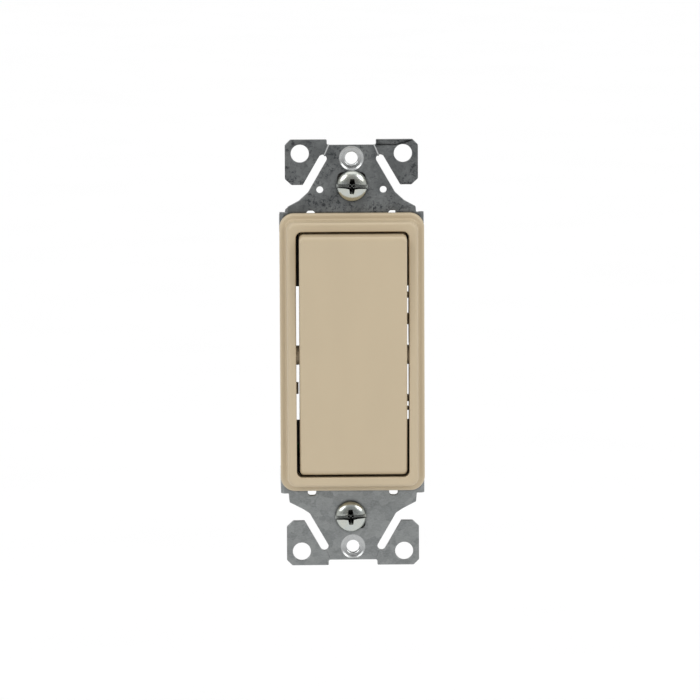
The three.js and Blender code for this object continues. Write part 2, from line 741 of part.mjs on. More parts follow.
function screwGroup(name) {
  const group = new THREE.Group();
  group.add(
    piece(`${name}_mounting_screw`, mountingScrew(), "zinc"),
    piece(`${name}_screw_washer`, captiveWasher(), "fibre"),
  );
  const [x, z] = SCREW_REST[name];
  group.position.set(x, 0, z);
  return group;
}

const rockerSwitch = new THREE.Group();
rockerSwitch.add(...fixedPieces(), rockerGroup(), bladeGroup());
rockerSwitch.add(screwGroup("top"), screwGroup("bottom"));

export default rockerSwitch;
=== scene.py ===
"""Looks of the rocker wall switch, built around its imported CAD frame.

Shapes are drawn in millimetres in the CAD's own frame and scaled to metres when a mesh is made.
The switch faces -Y, +X is to the right seen from the front and +Z is up.
"""

import json
import math

import bmesh
import bpy
from mathutils import Matrix, Vector


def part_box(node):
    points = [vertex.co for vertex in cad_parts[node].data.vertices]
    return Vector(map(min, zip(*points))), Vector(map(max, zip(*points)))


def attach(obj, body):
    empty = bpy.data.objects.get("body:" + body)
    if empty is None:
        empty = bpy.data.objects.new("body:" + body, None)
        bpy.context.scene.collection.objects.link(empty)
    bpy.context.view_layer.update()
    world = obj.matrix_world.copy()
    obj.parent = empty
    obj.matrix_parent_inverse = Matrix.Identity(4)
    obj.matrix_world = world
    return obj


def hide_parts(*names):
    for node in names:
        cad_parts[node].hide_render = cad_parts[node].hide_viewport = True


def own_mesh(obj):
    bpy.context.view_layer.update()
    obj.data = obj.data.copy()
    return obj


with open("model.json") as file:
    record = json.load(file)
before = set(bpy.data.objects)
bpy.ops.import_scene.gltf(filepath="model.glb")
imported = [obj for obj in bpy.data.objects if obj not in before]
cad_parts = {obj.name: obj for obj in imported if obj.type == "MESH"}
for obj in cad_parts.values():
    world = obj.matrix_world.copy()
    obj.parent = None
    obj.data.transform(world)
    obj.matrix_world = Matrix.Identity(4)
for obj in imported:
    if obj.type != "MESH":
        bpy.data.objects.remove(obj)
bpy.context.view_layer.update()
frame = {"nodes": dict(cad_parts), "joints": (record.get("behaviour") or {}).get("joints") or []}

MM = 0.001
JOINTS = {joint["name"]: joint for joint in frame["joints"]}


def millimetres(values):
    """Metres as millimetres."""
    return [value / MM for value in values]


def node_box(node):
    """Lowest and highest corners of a CAD node, in millimetres."""
    low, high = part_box(node)
    return millimetres(low), millimetres(high)


# ------------------------------------------------------------------ sizes, from the frame

STRAP_LOW, STRAP_HIGH = node_box("strap")
BEZEL_LOW, BEZEL_HIGH = node_box("bezel_frame")
STRAP_FRONT = STRAP_LOW[1]
STRAP_END = STRAP_HIGH[2]
SIDE_X = STRAP_HIGH[0]
PLATE_SCREW_Z = 48.42  # cover-plate screws are 96.84 mm apart
FRAME_FRONT = BEZEL_LOW[1]
FRAME_Z = (BEZEL_LOW[2] + BEZEL_HIGH[2]) / 2
FRAME_BACK = STRAP_FRONT - 0.05
PIVOT = Vector(millimetres(JOINTS["rocker_tilt"]["pos_m"]))
TILT = math.radians(JOINTS["rocker_tilt"]["range_deg"][1] / 2)
ROCKER_SHIFT = sum(corner[0] for corner in node_box("rocker")) / 2
ROCKER_PLACE = Matrix.Translation(Vector((ROCKER_SHIFT, PIVOT.y, PIVOT.z)) * MM)
ROCKER_PLACE @= Matrix.Rotation(TILT, 4, "X")

# ------------------------------------------------------------------ mesh tools

AXIS = 0.01  # profiles of turned solids start and end this near their axis


def link(name, mesh):
    """An object of the scene that holds a mesh, a lamp or a camera."""
    piece = bpy.data.objects.new(name, mesh)
    bpy.context.scene.collection.objects.link(piece)
    return piece


def solid(name, points, faces):
    """A closed piece from points in millimetres, with its faces turned outward."""
    mesh = bpy.data.meshes.new(name)
    mesh.from_pydata([Vector(point) * MM for point in points], [], faces)
    work = bmesh.new()
    work.from_mesh(mesh)
    bmesh.ops.remove_doubles(work, verts=work.verts, dist=1e-4 * MM)
    bmesh.ops.recalc_face_normals(work, faces=work.faces)
    work.to_mesh(mesh)
    work.free()
    return link(name, mesh)


def loft(name, rings, closed=False, strips=False):
    """Quads between rings of equal length, with flat ends unless the rings close on themselves.

    With strips, the first end is filled by strips across X, so it can follow a curve along Z.
    """
    count = len(rings[0])
    points = [point for ring in rings for point in ring]
    pairs = list(zip(range(len(rings) - 1), range(1, len(rings))))
    if closed:
        pairs.append((len(rings) - 1, 0))
    faces = []
    for first, second in pairs:
        for i in range(count):
            j = (i + 1) % count
            a, b = first * count, second * count
            faces.append((a + i, b + i, b + j, a + j))
    if not closed:
        last = (len(rings) - 1) * count
        if strips:
            for i in range(count // 2 - 1):
                faces.append((i, i + 1, count - 2 - i, count - 1 - i))
        else:
            faces.append(tuple(range(count)))
        faces.append(tuple(last + i for i in reversed(range(count))))
    return solid(name, points, faces)


def plate(name, walls):
    """A sheet from walls of rings from its front to its back: its outline, then its holes.

    The fill still leaves a narrow gap at the top of the upper right ear.
    """
    points, faces = [], []
    for rings in walls:
        count = len(rings[0])
        start = len(points)
        points += [point for ring in rings for point in ring]
        for level in range(len(rings) - 1):
            for i in range(count):
                j = (i + 1) % count
                a, b = start + level * count, start + (level + 1) * count
                faces.append((a + i, b + i, b + j, a + j))
    sheet = solid(name, points, faces)
    work = bmesh.new()
    work.from_mesh(sheet.data)
    bmesh.ops.scale(work, vec=(1 / MM, 1 / MM, 1 / MM), verts=work.verts)  # filled in millimetres
    middle = (walls[0][0][0][1] + walls[0][-1][0][1]) / 2
    rims = [edge for edge in work.edges if len(edge.link_faces) == 1]
    for front in (True, False):
        rim = [edge for edge in rims if (edge.verts[0].co.y < middle) == front]
        bmesh.ops.triangle_fill(work, edges=rim, use_beauty=True, use_dissolve=False)
    bmesh.ops.scale(work, vec=(MM, MM, MM), verts=work.verts)
    bmesh.ops.recalc_face_normals(work, faces=work.faces)
    work.to_mesh(sheet.data)
    work.free()
    return sheet


def round_ring(radius, y, sides):
    """A circle about Y, as points."""
    turns = [2 * math.pi * i / sides for i in range(sides)]
    return [(radius * math.cos(t), y, radius * math.sin(t)) for t in turns]


def turned(name, profile, sides=64):
    """A solid turned about Y from a profile of (radius, y) that starts and ends near the axis."""
    return loft(name, [round_ring(radius, y, sides) for radius, y in profile])


def block(name, low, high, edge=0.15):
    """A box with rounded edges, between two corners."""
    mesh = bpy.data.meshes.new(name)
    work = bmesh.new()
    bmesh.ops.create_cube(work, size=1.0)
    for vert in work.verts:
        vert.co = Vector([(low[k] if vert.co[k] < 0 else high[k]) * MM for k in range(3)])
    if edge > 0:
        bmesh.ops.bevel(
            work, geom=work.edges[:], offset=edge * MM, segments=3, profile=0.5, affect="EDGES"
        )
    work.to_mesh(mesh)
    work.free()
    return link(name, mesh)


def prism(name, outline, axis, low, high, edge=0.0):
    """An outline of (u, v) drawn along an axis: X takes u, v as y, z and Z takes them as x, y."""
    place = {
        "X": lambda u, v, w: (w, u, v),
        "Y": lambda u, v, w: (u, w, v),
        "Z": lambda u, v, w: (u, v, w),
    }[axis]
    rings = [[place(u, v, w) for u, v in outline] for w in (low, high)]
    piece = loft(name, rings)
    if edge > 0:
        round_edges(piece, edge)
    return piece


def round_edges(piece, width, angle=30.0, segments=3):
    """Rounds a piece's sharp edges in its mesh."""
    work = bmesh.new()
    work.from_mesh(piece.data)
    limit = math.radians(angle)
    sharp = [e for e in work.edges if len(e.link_faces) == 2 and e.calc_face_angle() > limit]
    bmesh.ops.bevel(
        work, geom=sharp, offset=width * MM, segments=segments, profile=0.5, affect="EDGES",
        clamp_overlap=True,
    )
    work.to_mesh(piece.data)
    work.free()


def turn(piece, degrees, axis):
    """Turns a piece's mesh about an axis of the frame."""
    piece.data.transform(Matrix.Rotation(math.radians(degrees), 4, axis))


def shift(piece, offset):
    """Moves a piece's mesh by millimetres."""
    piece.data.transform(Matrix.Translation(Vector(offset) * MM))


def apply_modifiers(piece):
    """Writes a piece's modifiers into its mesh."""
    graph = bpy.context.evaluated_depsgraph_get()
    mesh = bpy.data.meshes.new_from_object(piece.evaluated_get(graph))
    piece.modifiers.clear()
    old = piece.data
    piece.data = mesh
    bpy.data.meshes.remove(old)


def combine(piece, tool, operation):
    """Joins a tool to a piece or cuts it away, and deletes the tool."""
    modifier = piece.modifiers.new("combine", "BOOLEAN")
    modifier.operation = operation
    modifier.solver = "EXACT"
    modifier.object = tool
    apply_modifiers(piece)
    bpy.data.objects.remove(tool)
    return piece


def add(piece, tool):
    return combine(piece, tool, "UNION")


def cut(piece, tool):
    return combine(piece, tool, "DIFFERENCE")


def smooth(piece, angle=35.0, flat_sheet=False):
    """Shades a piece smoothly, with flat faces kept flat and edges past the angle kept sharp.

    With flat_sheet, the faces towards the front and the back are shaded quite flat.
    """
    mesh = piece.data
    for polygon in mesh.polygons:
        polygon.use_smooth = True
    work = bmesh.new()
    work.from_mesh(mesh)
    for edge in work.edges:
        edge.smooth = len(edge.link_faces) == 2 and edge.calc_face_angle() < math.radians(angle)
        if flat_sheet and edge.smooth:
            level = [abs(face.normal.y) > 0.9999 for face in edge.link_faces]
            edge.smooth = level[0] == level[1]
    work.to_mesh(mesh)
    work.free()
    normals = piece.modifiers.new("flat_faces", "WEIGHTED_NORMAL")
    normals.keep_sharp = True
    normals.weight = 90
    return piece


def finish_piece(piece, material, body, slot, *replaced, flat_sheet=False):
    """Gives a piece its material and its body, and hides the CAD nodes it stands for; its slot
    argument is not used.
    """
    smooth(piece, flat_sheet=flat_sheet)
    piece.data.materials.clear()
    piece.data.materials.append(material)
    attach(piece, body)
    if replaced:
        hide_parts(*replaced)
    return piece


def refine(node, material, edge=0.15, angle=35.0):
    """Dresses a CAD node: rounded edges and a material."""
    piece = frame["nodes"][node]
    flat = piece.modifiers.new("merge_flat", "DECIMATE")
    flat.decimate_type = "DISSOLVE"
    flat.angle_limit = math.radians(1.0)
    bevel = piece.modifiers.new("round_edges", "BEVEL")
    bevel.width = edge * MM
    bevel.segments = 3
    bevel.limit_method = "ANGLE"
    bevel.angle_limit = math.radians(angle)
    bevel.harden_normals = True
    for polygon in piece.data.polygons:
        polygon.use_smooth = True
    piece.data.materials.clear()
    piece.data.materials.append(material)
    return piece


# ------------------------------------------------------------------ outlines


def rectangle_ring(half_x, half_z, radius, y, side_steps=1, arc_steps=8):
    """A rounded rectangle at a depth, as points that mirror each other left to right."""
    right = []
    for k in range(arc_steps + 1):
        t = math.radians(-90 + 90 * k / arc_steps)
        x, z = half_x - radius + radius * math.cos(t), -half_z + radius + radius * math.sin(t)
        right.append((x, z))
    straight = 2 * (half_z - radius)
    for k in range(1, side_steps):
        right.append((half_x, -half_z + radius + straight * k / side_steps))
    for k in range(arc_steps + 1):
        t = math.radians(90 * k / arc_steps)
        x, z = half_x - radius + radius * math.cos(t), half_z - radius + radius * math.sin(t)
        right.append((x, z))
    ring = right + [(-x, z) for x, z in reversed(right)]
    return [(x, y, z) for x, z in ring]


def round_corners(corners, piece_length=0.12):
    """The points of a closed outline whose corners (u, v, radius) are rounded."""
    points = []
    for i, (u, v, radius) in enumerate(corners):
        corner = Vector((u, v))
        if radius == 0:
            points.append((u, v))
            continue
        to_before = (Vector(corners[i - 1][:2]) - corner).normalized()
        to_after = (Vector(corners[(i + 1) % len(corners)][:2]) - corner).normalized()
        half = to_before.angle(to_after) / 2
        centre = corner + (to_before + to_after).normalized() * (radius / math.sin(half))
        first = corner + to_before * (radius / math.tan(half)) - centre
        bend = to_after.x * to_before.y - to_after.y * to_before.x
        sweep = math.copysign(math.pi - 2 * half, bend)
        steps = max(3, math.ceil(radius * abs(sweep) / piece_length))
        for step in range(steps + 1):
            spoke = Matrix.Rotation(sweep * step / steps, 2) @ first
            points.append((centre.x + spoke.x, centre.y + spoke.y))
    return points


def circle(centre, radius, steps=48):
    """A hole's outline, clockwise."""
    turns = [-2 * math.pi * i / steps for i in range(steps)]
    return [(centre[0] + radius * math.cos(t), centre[1] + radius * math.sin(t)) for t in turns]


def slot_outline(centre, width, height, radius):
    """A rounded rectangular hole's outline, clockwise."""
    (x, z), a, b = centre, width / 2, height / 2
    corners = [(x + a, z + b), (x + a, z - b), (x - a, z - b), (x - a, z + b)]
    return round_corners([(*corner, radius) for corner in corners])


def inset(outline, distance):
    """An outline moved into the material on its left by a distance."""
    moved = []
    for i, point in enumerate(outline):
        here = Vector(point)
        before = (here - Vector(outline[i - 1])).normalized()
        after = (Vector(outline[(i + 1) % len(outline)]) - here).normalized()
        along = (before + after).normalized()
        left = Vector((-along.y, along.x))
        stretch = 1 / max(0.5, along.dot(after))
        moved.append(tuple(here + left * distance * stretch))
    return moved


def rounded_wall(outline, front, back, edge, steps=3):
    """The rings of a sheet's cut edge, rounded at both faces."""
    rings = []
    for k in range(steps + 1):
        t = math.radians(90 * (1 - k / steps))
        ring = inset(outline, edge * (1 - math.cos(t)))
        rings.append([(x, front + edge * (1 - math.sin(t)), z) for x, z in ring])
    for k in range(steps + 1):
        t = math.radians(90 * k / steps)
        ring = inset(outline, edge * (1 - math.cos(t)))
        rings.append([(x, back - edge * (1 - math.sin(t)), z) for x, z in ring])
    return rings


def arc(centre, radius, start, end, steps=5):
    """Points of an arc, with its angles in degrees."""
    turns = [math.radians(start + (end - start) * k / steps) for k in range(steps + 1)]
    return [(centre[0] + radius * math.cos(t), centre[1] + radius * math.sin(t)) for t in turns]


# ------------------------------------------------------------------ materials


def shader(name, **settings):
    """A material with a Principled shader, and its node tree."""
    material = bpy.data.materials.new(name)
    material.use_nodes = True
    surface = material.node_tree.nodes["Principled BSDF"]
    for socket, value in settings.items():
        surface.inputs[socket.replace("_", " ")].default_value = value
    return material, material.node_tree, surface


def add_node(tree, kind, inputs=None, **settings):
    """A node with its settings, whose inputs are values or other nodes' outputs."""
    made = tree.nodes.new(kind)
    for key, value in settings.items():
        setattr(made, key, value)
    for key, value in (inputs or {}).items():
        if isinstance(value, bpy.types.NodeSocket):
            tree.links.new(value, made.inputs[key])
        else:
            made.inputs[key].default_value = value
    return made


def coordinates(tree, stretch=(1, 1, 1)):
    """Object coordinates in millimetres."""
    place = add_node(tree, "ShaderNodeTexCoord")
    scale = [1 / MM * factor for factor in stretch]
    return add_node(
        tree, "ShaderNodeMapping", {"Vector": place.outputs["Object"], "Scale": scale}
    ).outputs["Vector"]


def noise(tree, vector, scale, detail=3.0, roughness=0.5, distortion=0.0):
    """Fractal noise around 0.5."""
    inputs = {
        "Vector": vector, "Scale": scale, "Detail": detail,
        "Roughness": roughness, "Distortion": distortion,
    }
    return add_node(tree, "ShaderNodeTexNoise", inputs).outputs["Fac"]


def remap(tree, value, low, high, to_low, to_high):
    """A value stretched from one range to another, and held inside it."""
    inputs = {
        "Value": value, "From Min": low, "From Max": high, "To Min": to_low, "To Max": to_high,
    }
    return add_node(tree, "ShaderNodeMapRange", inputs).outputs["Result"]


def blend_colours(tree, factor, first, second):
    """Mixes two colours, each a colour or a socket, by a factor."""
    made = add_node(tree, "ShaderNodeMix", data_type="RGBA")
    for socket, value in ((0, factor), (6, first), (7, second)):
        if isinstance(value, bpy.types.NodeSocket):
            tree.links.new(value, made.inputs[socket])
        elif socket == 0:
            made.inputs[socket].default_value = value
        else:
            made.inputs[socket].default_value = (*value, 1.0)
    return made.outputs[2]


def combine_values(tree, operation, first, second):
    """One arithmetic step on two values."""
    return add_node(tree, "ShaderNodeMath", {0: first, 1: second}, operation=operation).outputs[0]


def bump(tree, surface, heights):
    """Bumps the surface by heights of (value, depth in millimetres)."""
    normal = None
    for value, depth in heights:
        inputs = {"Height": value, "Strength": 1.0, "Distance": depth * MM}
        if normal is not None:
            inputs["Normal"] = normal
        normal = add_node(tree, "ShaderNodeBump", inputs).outputs["Normal"]
    tree.links.new(normal, surface.inputs["Normal"])


def crevices(tree, reach, full, none):
    """1 deep in recesses narrower than the reach in millimetres, 0 on open surfaces."""
    shade = add_node(tree, "ShaderNodeAmbientOcclusion", {"Distance": reach * MM}, samples=6)
    return remap(tree, shade.outputs["AO"], full, none, 1, 0)


def moulded_plastic(name, colour, roughness=0.42, grain=0.004, shade_strength=0.5):
    """Moulded plastic: faint flow tone, fine mould grain, and painted shade where surfaces meet."""
    material, tree, surface = shader(name)
    place = coordinates(tree)
    flow = noise(tree, coordinates(tree, (1, 1, 0.35)), 0.09, 2.0)
    fine = noise(tree, place, 9.0, 2.0)
    scuff = noise(tree, coordinates(tree, (1.6, 1, 0.25)), 1.6, 4.0, 0.6)
    darker = [channel * 0.975 for channel in colour]
    lighter = [min(1.0, channel * 1.02) for channel in colour]
    tone = blend_colours(tree, remap(tree, flow, 0.3, 0.7, 0, 1), darker, lighter)
    tone = blend_colours(tree, remap(tree, fine, 0.35, 0.65, 0, 0.16), tone, darker)
    # painted shade: recesses and corners are darkened towards a brownish shade colour
    crevice = combine_values(tree, "MULTIPLY", crevices(tree, 1.2, 0.15, 0.85), shade_strength)
    shade_colour = [channel * factor for channel, factor in zip(colour, (0.45, 0.38, 0.28))]
    tone = blend_colours(tree, crevice, tone, shade_colour)
    tree.links.new(tone, surface.inputs["Base Color"])
    dull = remap(tree, scuff, 0.3, 0.7, roughness - 0.05, roughness + 0.09)
    tree.links.new(dull, surface.inputs["Roughness"])
    bump(tree, surface, [(fine, grain)])
    return material


def folded_place(tree, place):
    """The place on the sheet, without its depth, folded onto the upper right quarter."""
    flat = add_node(tree, "ShaderNodeVectorMath", {0: place, 1: (1, 0, 1)}, operation="MULTIPLY")
    folded = add_node(tree, "ShaderNodeVectorMath", {0: flat.outputs[0]}, operation="ABSOLUTE")
    return folded.outputs[0]


def drawn_ring(tree, place):
    """1 where the sheet is drawn smooth around the two cover-plate holes, 0 elsewhere."""
    centre = (0, 0, PLATE_SCREW_Z)
    folded = folded_place(tree, place)
    away = add_node(tree, "ShaderNodeVectorMath", {0: folded, 1: centre}, operation="DISTANCE")
    return remap(tree, away.outputs["Value"], 2.95, 3.1, 1, 0)


def score_mark(tree, place):
    """1 on the bright metal of the four score lines, 0 elsewhere."""
    start, stop = Vector((6.7, 0, 49.2)), Vector((5.6, 0, 51.8))
    along = (stop - start).normalized()
    across = Vector((along.z, 0, -along.x))
    offset = add_node(
        tree, "ShaderNodeVectorMath", {0: folded_place(tree, place), 1: start}, operation="SUBTRACT"
    ).outputs[0]
    side = add_node(tree, "ShaderNodeVectorMath", {0: offset, 1: across}, operation="DOT_PRODUCT")
    reach = add_node(tree, "ShaderNodeVectorMath", {0: offset, 1: along}, operation="DOT_PRODUCT")
    distance = combine_values(tree, "ABSOLUTE", side.outputs["Value"], 0)
    near = remap(tree, distance, 0.08, 0.2, 1, 0)
    inside = remap(tree, reach.outputs["Value"], 0.0, 0.2, 0, 1)
    return combine_values(tree, "MULTIPLY", near, inside)


def galvanised_steel(name):
    """Hot-dip galvanised sheet: spangle, dark blotches towards the top end, fine pitting, a painted
    highlight around the cover-plate holes and painted shade in recesses.
    """
    material, tree, surface = shader(name, Metallic=1.0)
    place = coordinates(tree)
    bend = add_node(tree, "ShaderNodeTexNoise", {"Vector": place, "Scale": 0.9, "Detail": 3.0})
    waves = {0: bend.outputs["Color"], 1: (1.5, 1.5, 1.5)}
    wavy = add_node(tree, "ShaderNodeVectorMath", waves, operation="MULTIPLY")
    warped = add_node(tree, "ShaderNodeVectorMath", {0: place, 1: wavy.outputs[0]}, operation="ADD")
    cells = add_node(
        tree, "ShaderNodeTexVoronoi", {"Vector": warped.outputs[0], "Scale": 0.55}, feature="F1"
    )
    crystal = add_node(tree, "ShaderNodeSeparateColor", {"Color": cells.outputs["Color"]})
    tone = remap(tree, crystal.outputs[0], 0, 1, 0.0, 1.0)
    dark = blend_colours(tree, tone, (0.20, 0.212, 0.21), (0.30, 0.313, 0.308))
    feather = noise(tree, coordinates(tree, (1, 1, 2.2)), 1.3, 5.0, 0.65, 1.2)
    dark = blend_colours(tree, remap(tree, feather, 0.35, 0.65, 0, 0.5), dark, (0.40, 0.41, 0.415))
    height = add_node(tree, "ShaderNodeSeparateXYZ", {"Vector": place}).outputs["Z"]
    upper = remap(tree, height, -30, 36, 0.08, 1.0)
    patchy = remap(tree, noise(tree, place, 0.16, 2.0), 0.42, 0.6, 0.25, 1.0)
    stain = remap(tree, noise(tree, place, 0.12, 2.0), 0.35, 0.65, 0.35, 0.75)
    blotch = remap(tree, noise(tree, place, 1.15, 5.0, 0.72, 0.6), 0.5, 0.62, 0, 0.9)
    stained = combine_values(tree, "MULTIPLY", stain, upper)
    dark = blend_colours(tree, stained, dark, (0.085, 0.09, 0.092))
    speckled = combine_values(tree, "MULTIPLY", upper, patchy)
    speckled = combine_values(tree, "MULTIPLY", blotch, speckled)
    dark = blend_colours(tree, speckled, dark, (0.035, 0.037, 0.042))
    scored = combine_values(tree, "MULTIPLY", score_mark(tree, place), upper)
    dark = blend_colours(tree, scored, dark, (0.62, 0.63, 0.63))
    drawn = drawn_ring(tree, place)
    # painted highlight: the drawn dish around each cover-plate hole is painted lighter; its lower
    # roughness below is real
    ring_highlight = combine_values(tree, "MULTIPLY", drawn, 0.8)
    dark = blend_colours(tree, ring_highlight, dark, (0.50, 0.51, 0.51))
    # painted shade: near-black in recesses, around the screw heads and under the frame
    dark = blend_colours(tree, crevices(tree, 1.0, 0.2, 0.75), dark, (0.03, 0.03, 0.03))
    tree.links.new(dark, surface.inputs["Base Color"])
    rough = remap(tree, crystal.outputs[1], 0, 1, 0.34, 0.5)
    rough = combine_values(tree, "SUBTRACT", rough, combine_values(tree, "MULTIPLY", drawn, 0.14))
    tree.links.new(rough, surface.inputs["Roughness"])
    pits = noise(tree, place, 4.5, 4.0, 0.6)
    bump(tree, surface, [(pits, 0.012), (crystal.outputs[2], 0.004), (feather, 0.01)])
    return material


def plated_metal(name, colour, roughness, tint, scratches=0.006):
    """Plated or rolled metal: tint drift, fine brushing and small scratches."""
    material, tree, surface = shader(name, Metallic=1.0)
    place = coordinates(tree)
    drift = remap(tree, noise(tree, place, 0.5, 3.0), 0.35, 0.65, 0, 1)
    spots = remap(tree, noise(tree, place, 3.2, 4.0, 0.65), 0.5, 0.7, 0, 0.35)
    darker = [channel * 0.72 for channel in colour]
    tone = blend_colours(tree, drift, colour, tint)
    tone = blend_colours(tree, spots, tone, darker)
    shadow = [channel * 0.1 for channel in colour]
    tone = blend_colours(tree, crevices(tree, 2.0, 0.55, 0.98), tone, shadow)
    tree.links.new(tone, surface.inputs["Base Color"])
    streaks = noise(tree, coordinates(tree, (6, 6, 0.8)), 2.0, 4.0, 0.6)
    dull = remap(tree, streaks, 0.3, 0.7, roughness * 0.75, roughness * 1.35)
    tree.links.new(dull, surface.inputs["Roughness"])
    bump(tree, surface, [(streaks, scratches), (noise(tree, place, 6.0, 3.0), scratches * 0.5)])
    return material


def fibre_board(name, colour):
    """Vulcanised fibre: matt, with a fine matted grain."""
    material, tree, surface = shader(name)
    matted = noise(tree, coordinates(tree, (1, 1, 0.3)), 4.0, 5.0, 0.7, 0.8)
    darker = [channel * 0.6 for channel in colour]
    tone = blend_colours(tree, remap(tree, matted, 0.3, 0.7, 0, 1), darker, colour)
    tree.links.new(tone, surface.inputs["Base Color"])
    tree.links.new(remap(tree, matted, 0.3, 0.7, 0.75, 0.95), surface.inputs["Roughness"])
    bump(tree, surface, [(matted, 0.05)])
    return material


BEIGE = moulded_plastic("beige_plastic", (0.522, 0.428, 0.29), 0.36, shade_strength=0.1)
HOUSING = moulded_plastic("housing_plastic", (0.035, 0.033, 0.032), 0.5, 0.01, 0.3)
COVER = moulded_plastic("cover_plastic", (0.06, 0.055, 0.05), 0.5, 0.01, 0.3)
SLIDER = moulded_plastic("slider_plastic", (0.75, 0.72, 0.65), 0.4, 0.003, 0.3)
STEEL = galvanised_steel("galvanised_steel")
ZINC = plated_metal("zinc_plate", (0.52, 0.55, 0.53), 0.18, (0.55, 0.56, 0.50))
BRASS = plated_metal("brass", (0.66, 0.45, 0.19), 0.26, (0.60, 0.38, 0.15))
SILVER = plated_metal("contact_silver", (0.82, 0.81, 0.78), 0.3, (0.75, 0.74, 0.70))
SPRING = plated_metal("spring_steel", (0.46, 0.47, 0.48), 0.22, (0.40, 0.41, 0.44))
GREEN = plated_metal("green_steel", (0.04, 0.26, 0.09), 0.3, (0.05, 0.22, 0.10))
FIBRE = fibre_board("fibre", (0.075, 0.06, 0.05))


# ------------------------------------------------------------------ strap

EDGE = 0.14  # rounding of sheared sheet edges
SUNK = 0.012  # folded parts join the sheet this far below its faces
TONGUE = (6.05, 51.7)
EAR_X = 16.4
EAR_INNER_Z = 41.88
EAR_HOLE = {"x": 12.7, "z": 49.6, "radius": 2.25}
BREAK_SLOT = {"x": 7.1, "z": 48.3, "width": 2.05, "lean": math.radians(30)}
SLOT_MOUTH_Z = 40.0
TOP_SHOULDER = [(15.9, 35.0, 0.2), (15.8, 36.4, 0.4), (13.0, 37.9, 1.0)]
BOTTOM_SHOULDER = [(15.9, 35.0, 0.2), (15.7, 37.2, 0.4), (12.4, 38.9, 1.0)]
RAIL_X = 17.0
HOOK_SLOT = {"x": 10.1, "width": 2.1, "low": 33.0, "high": 35.5}
GUIDE_HOLE = {"x": 7.82, "z": 40.65, "radius": 0.86}
STRAP_WINDOW = (29.5, 63.0)  # width, height
SCREW_SLOTS = [((0, 42.12), 6.8, 5.5), ((0, -41.2), 6.0, 5.2)]  # centre, width, height
LEG = {"inner": 16.5, "low": 29.4, "high": 35.0, "end": 9.0, "bend": 1.0, "end_high": 33.6}
BARB_WINDOW = {"low": 31.0, "high": 33.0, "front": 3.8, "back": 7.0}
TAB = {"outer": -15.2, "inner": -13.9, "low": -29.0, "high": -21.9, "end": 12.5}


def break_slot_point(along, across):
    """A point along a break-off slot from its round end, and across it outward."""
    sin, cos = math.sin(BREAK_SLOT["lean"]), math.cos(BREAK_SLOT["lean"])
    x, z = BREAK_SLOT["x"], BREAK_SLOT["z"]
    return x + along * sin + across * cos, z - along * cos + across * sin


def break_slot_edge(across, z):
    """Where an edge of a break-off slot comes down to a height."""
    sin, cos = math.sin(BREAK_SLOT["lean"]), math.cos(BREAK_SLOT["lean"])
    return break_slot_point((BREAK_SLOT["z"] + across * sin - z) / cos, across)


def strap_quarter(shoulder):
    """The strap's outline from a side rail to the tongue, as corners of (x, z, radius)."""
    half = BREAK_SLOT["width"] / 2
    return [
        (RAIL_X, LEG["low"], 0.3),
        (LEG["inner"] + 0.6, LEG["low"], 0.0),
        (LEG["inner"] + 0.6, LEG["high"], 0.0),
        *shoulder,
        (*break_slot_edge(-half, SLOT_MOUTH_Z), 1.2),
        (*break_slot_point(-half, -half), half - 0.01),
        (*break_slot_point(-half, half), half - 0.01),
        (*break_slot_edge(half, EAR_INNER_Z), 0.25),
        (EAR_X - 1.6, EAR_INNER_Z, 0.5),
        (EAR_X, EAR_INNER_Z + 1.5, 0.5),
        (EAR_X, STRAP_END - 1.35, 0.5),
        (EAR_X - 1.35, STRAP_END, 0.4),
        (TONGUE[0], STRAP_END, 0.25),
        (*TONGUE, 0.45),
    ]


def strap_outline():
    top, bottom = strap_quarter(TOP_SHOULDER), strap_quarter(BOTTOM_SHOULDER)
    corners = list(top)
    corners += [(-x, z, r) for x, z, r in reversed(top)]
    corners += [(-x, -z, r) for x, z, r in bottom]
    corners += [(x, -z, r) for x, z, r in reversed(bottom)]
    return round_corners(corners)


def tapped_hole(z):
    """A cover-plate screw's hole: a rolled dimple in front, threads, and a collar behind."""
    profile = [(3.25, STRAP_FRONT), (3.1, STRAP_FRONT - 0.02)]
    profile += [(2.92, STRAP_FRONT + 0.04), (2.72, STRAP_FRONT + 0.18), (2.5, STRAP_FRONT + 0.3)]
    profile += [(2.2, STRAP_FRONT + 0.36), (1.95, STRAP_FRONT + 0.34), (1.78, STRAP_FRONT + 0.4)]
    profile += [(1.62, STRAP_FRONT + 0.55)]
    for k in range(4):
        profile.append((1.58 if k % 2 else 1.72, STRAP_FRONT + 0.7 + 0.3 * k))
    profile += [(1.62, 0.5), (1.8, 0.62), (2.2, 0.6), (2.4, 0.45), (2.5, 0.2), (2.75, 0.0)]
    rings = []
    for radius, y in profile:
        rings.append([(x, y, height) for x, height in circle((0, z), radius, 64)])
    return rings


def score_line(side, end):
    """A shallow V groove from a slot's round end to the notch between the ears."""
    start = Vector((BREAK_SLOT["x"] - 0.45, BREAK_SLOT["z"] + 0.7))
    stop = Vector((TONGUE[0] - 0.5, TONGUE[1] + 0.2))
    along = (stop - start).normalized()
    across = Vector((-along.y, along.x)) * 0.1
    deep = STRAP_FRONT + 0.08
    high = STRAP_FRONT - 0.05
    points, faces = [], [(0, 1, 2), (5, 4, 3), (0, 3, 4, 1), (1, 4, 5, 2), (2, 5, 3, 0)]
    for spot in (start, stop):
        for offset, y in ((-across * 1.6, high), (across * 1.6, high), (across * 0, deep)):
            corner = spot + offset
            points.append((side * corner.x, y, end * corner.y))
    return solid("score", points, faces)


